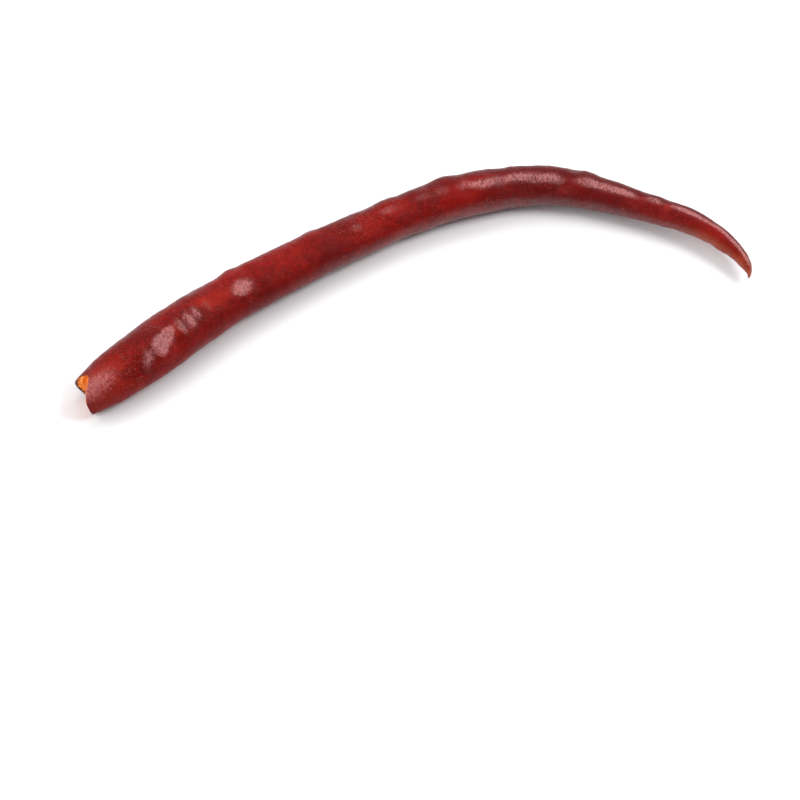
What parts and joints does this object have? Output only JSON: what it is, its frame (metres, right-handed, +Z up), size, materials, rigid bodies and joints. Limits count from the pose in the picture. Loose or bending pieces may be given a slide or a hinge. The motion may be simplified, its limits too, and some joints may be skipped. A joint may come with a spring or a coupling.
{
  "type": "dried chilli pepper",
  "caption": "Long, thin dried red chilli pod that bends to a pointed tip, with a torn open stalk end, lying on its side.",
  "frame": {"origin": "centre of the bounding box in X and Y, on the surface that the pod rests on", "axes": "+X along the chord from the torn stalk end to the tip, +Y towards the outer side of the bend, +Z up from the surface"},
  "size_m": [0.1223, 0.0339, 0.0093],
  "materials": {
    "pod_skin": "satin",
    "torn_edge": "matte"
  },
  "bodies": {
    "root": {"chilli_pod": "pod_skin"}
  },
  "joints": []
}
